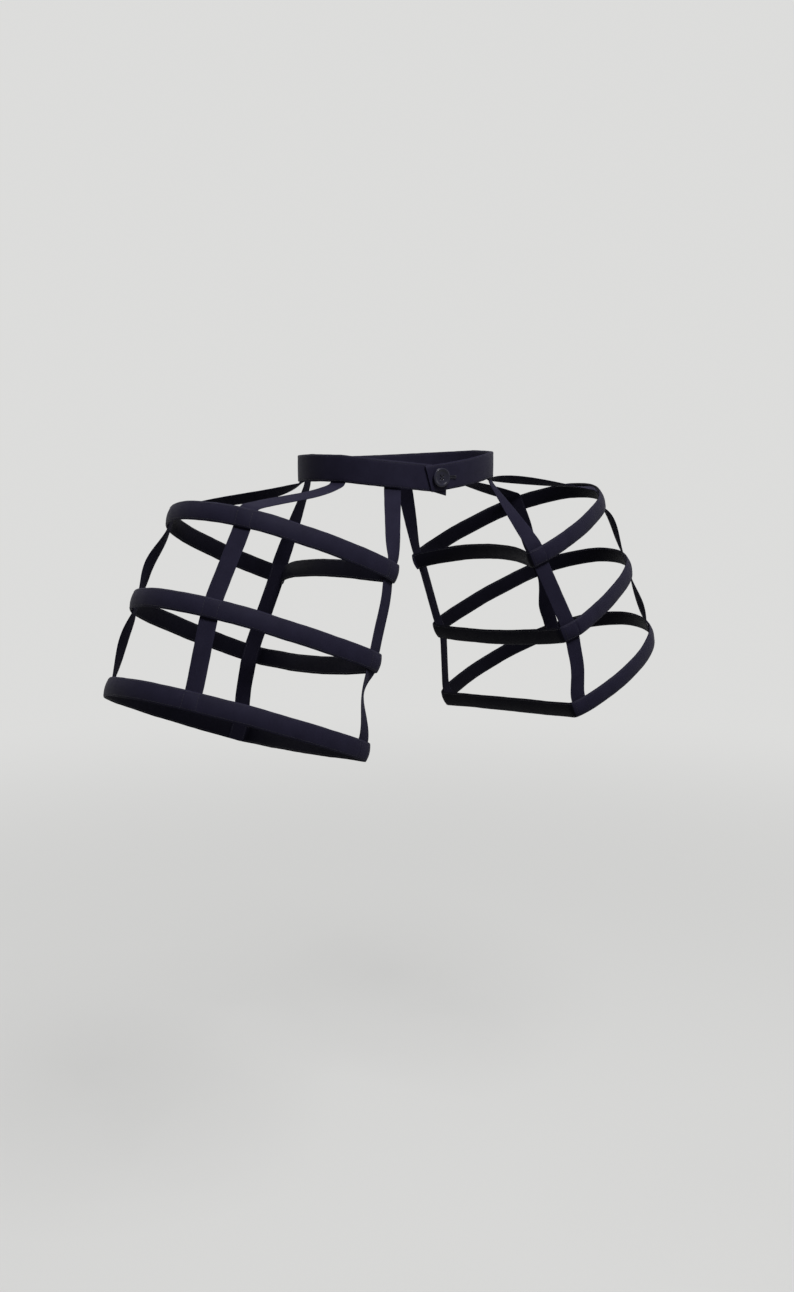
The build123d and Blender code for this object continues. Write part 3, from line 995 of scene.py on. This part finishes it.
# Waistband
band = waist_tape()
waist_outline = section(waistband_height, waistband_thickness, waistband_edge_thickness, True)
waist_piece = sweep("waistband_cloth", band, waist_outline, [waist_cloth], 1)
cut(waist_piece, button_prism("keyhole", keyhole_outline(), -waistband_thickness - keyhole_overcut,
                              waistband_thickness))
settle(waist_piece, "waist_cloth", "waistband")
waist_edge = waistband_height / 2 - stitch_inset
waist_depth = half_thickness(waist_edge, waistband_height, waistband_thickness, waistband_edge_thickness)
waist_rows = [row_along(band, stitch_inset, band.run[-1] - stitch_inset, edge, waist_depth, face)
              for edge in (-waist_edge, waist_edge) for face in (1, -1)]
waist_sewing = stitches("waistband_stitching", waist_rows + [keyhole_stitches()])
follow(waist_sewing)

# Button
disc = button_piece()
settle(disc, "button", "button")
button_sewing = button_thread_piece()
settle(button_sewing, "thread", "button_thread")

# Hoops and straps of both sides
band_outline = section(band_width, band_thickness, band_edge_thickness, True, band_bulge)
strap_outline = section(strap_width, strap_thickness, strap_edge_thickness, False)
for side_name, side in (("left", 1), ("right", -1)):
    for index, (hoop_name, hoop) in enumerate(side_hoops(side).items()):
        node = f"{side_name}_{hoop_name}_hoop"
        tape, bow_length = band_tape(hoop, side, hoop_phase_step * index + side)
        # Over the hip stretch the band takes its darker cloth on both faces, as painted shade
        hip_run = (bow_length + facet_length, tape.run[-1] - facet_length)
        piece = sweep(f"{node}_band", tape, band_outline, [band_cloth, band_lining_and_shade], side, hip_run)
        cut(piece, bone_opening("opening", tape, side))
        settle(piece, "band_cloth", f"{node}_casing")
        sewing = band_stitches(f"{node}_stitching", tape, hoop, side)
        follow(sewing)
        bone_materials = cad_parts[f"{node}_bone"].data.materials
        bone_materials.clear()
        bone_materials.append(bone_steel)
    for index, (strap_name, (angle, seat)) in enumerate(side_straps(side).items()):
        node = f"{side_name}_{strap_name}_strap"
        hang = HANGS.get(f"{side_name}_{strap_name}", STRAIGHT)
        tape, corners = strap_tape(angle, seat, side, hang, strap_phase_step * index + side)
        # Each strap takes its darker copy of the cloth on its inner face, as painted shade
        piece = sweep(f"{node}_tape", tape, strap_outline, [strap_cloth, strap_painted_shade], side)
        settle(piece, "strap_cloth", node)
        sewing = strap_stitches(f"{node}_stitching", tape, corners)
        follow(sewing)

# Camera
camera_place = Vector((1.073, 1.340, 0.066))
camera_heading = 38.7
camera_pitch = 9.8
camera_lens = 37.84
camera_sensor_width = 36.0
camera_data = bpy.data.cameras.new("camera")
camera_data.lens = camera_lens
camera_data.sensor_width = camera_sensor_width
camera = bpy.data.objects.new("camera", camera_data)
camera.location = camera_place
heading, pitch = radians(camera_heading), radians(camera_pitch)
ahead = Vector((-sin(heading) * cos(pitch), -cos(heading) * cos(pitch), -sin(pitch)))
camera.rotation_euler = ahead.to_track_quat("-Z", "Y").to_euler()
bpy.context.scene.collection.objects.link(camera)
bpy.context.scene.camera = camera


# Soft round lamps, aimed at the middle of the cage
lamp_aim = Vector((0.0, 0.0, -0.15))


def lamp(name, place, size, power):
    data = bpy.data.lights.new(name, "AREA")
    data.shape = "DISK"
    data.size = size
    data.energy = power
    obj = bpy.data.objects.new(name, data)
    obj.location = place
    obj.rotation_euler = (lamp_aim - Vector(place)).to_track_quat("-Z", "Y").to_euler()
    bpy.context.scene.collection.objects.link(obj)


lamp("key", place=(0.3, 1.5, 2.0), size=1.0, power=66)
lamp("side", place=(-1.9, 0.6, 0.6), size=1.0, power=2)
lamp("front", place=(0.1, -1.1, 1.9), size=1.0, power=14)

# A plain pale floor and world: the floor takes a soft shadow near by and glows like the world farther off
floor_level = -0.98
floor_reach = 20.0
floor_fade_start = 0.9
floor_fade_end = 3.2
floor_near_glow = 0.6
floor_bounce = (0.25, 0.25, 0.25)
pale = (0.80, 0.80, 0.79)
seen_strength = 0.9
fill_strength = 0.14


# One for rays that are seen, straight or mirrored, and nought for those that only light the cage
def seen_rays(graph):
    path = graph.add("ShaderNodeLightPath")
    mirror = graph.math("MAXIMUM", path["Is Glossy Ray"], path["Is Transmission Ray"])
    return graph.math("MAXIMUM", path["Is Camera Ray"], mirror)


def floor_material():
    material, graph, shader = new_material("floor_pale")
    seen = seen_rays(graph)
    graph.feed(shader, {"Base Color": graph.tone(seen, floor_bounce, pale),
                        "Roughness": 0.9, "Specular IOR Level": 0.0})
    glow = graph.add("ShaderNodeEmission", {"Color": (*pale, 1), "Strength": seen_strength})
    distance = graph.add("ShaderNodeVectorMath", {0: graph.place()}, operation="LENGTH")
    fade = graph.add("ShaderNodeMapRange", {
        "Value": distance["Value"], "From Min": floor_fade_start, "From Max": floor_fade_end,
        "To Min": floor_near_glow, "To Max": 1.0}, interpolation_type="SMOOTHSTEP")
    mix = graph.add("ShaderNodeMixShader", {
        "Fac": graph.math("MULTIPLY", seen, fade["Result"]),
        1: shader.outputs["BSDF"], 2: glow["Emission"]})
    graph.feed(graph.nodes["Material Output"], {"Surface": mix["Shader"]})
    return material


floor_corners = [(x * floor_reach, y * floor_reach, floor_level)
                 for x, y in ((-1, -1), (1, -1), (1, 1), (-1, 1))]
floor = new_object("floor", floor_corners, [[0, 1, 2, 3]], [floor_material()])

world = bpy.data.worlds.new("studio")
bpy.context.scene.world = world
world.use_nodes = True
around = Graph(world.node_tree)
dim = around.nodes["Background"]
around.feed(dim, {"Color": (*pale, 1), "Strength": fill_strength})
bright = around.add("ShaderNodeBackground", {"Color": (*pale, 1), "Strength": seen_strength})
both = around.add("ShaderNodeMixShader", {
    "Fac": seen_rays(around), 1: dim.outputs["Background"], 2: bright["Background"]})
around.feed(around.nodes["World Output"], {"Surface": both["Shader"]})

bpy.context.scene.view_settings.view_transform = "Standard"
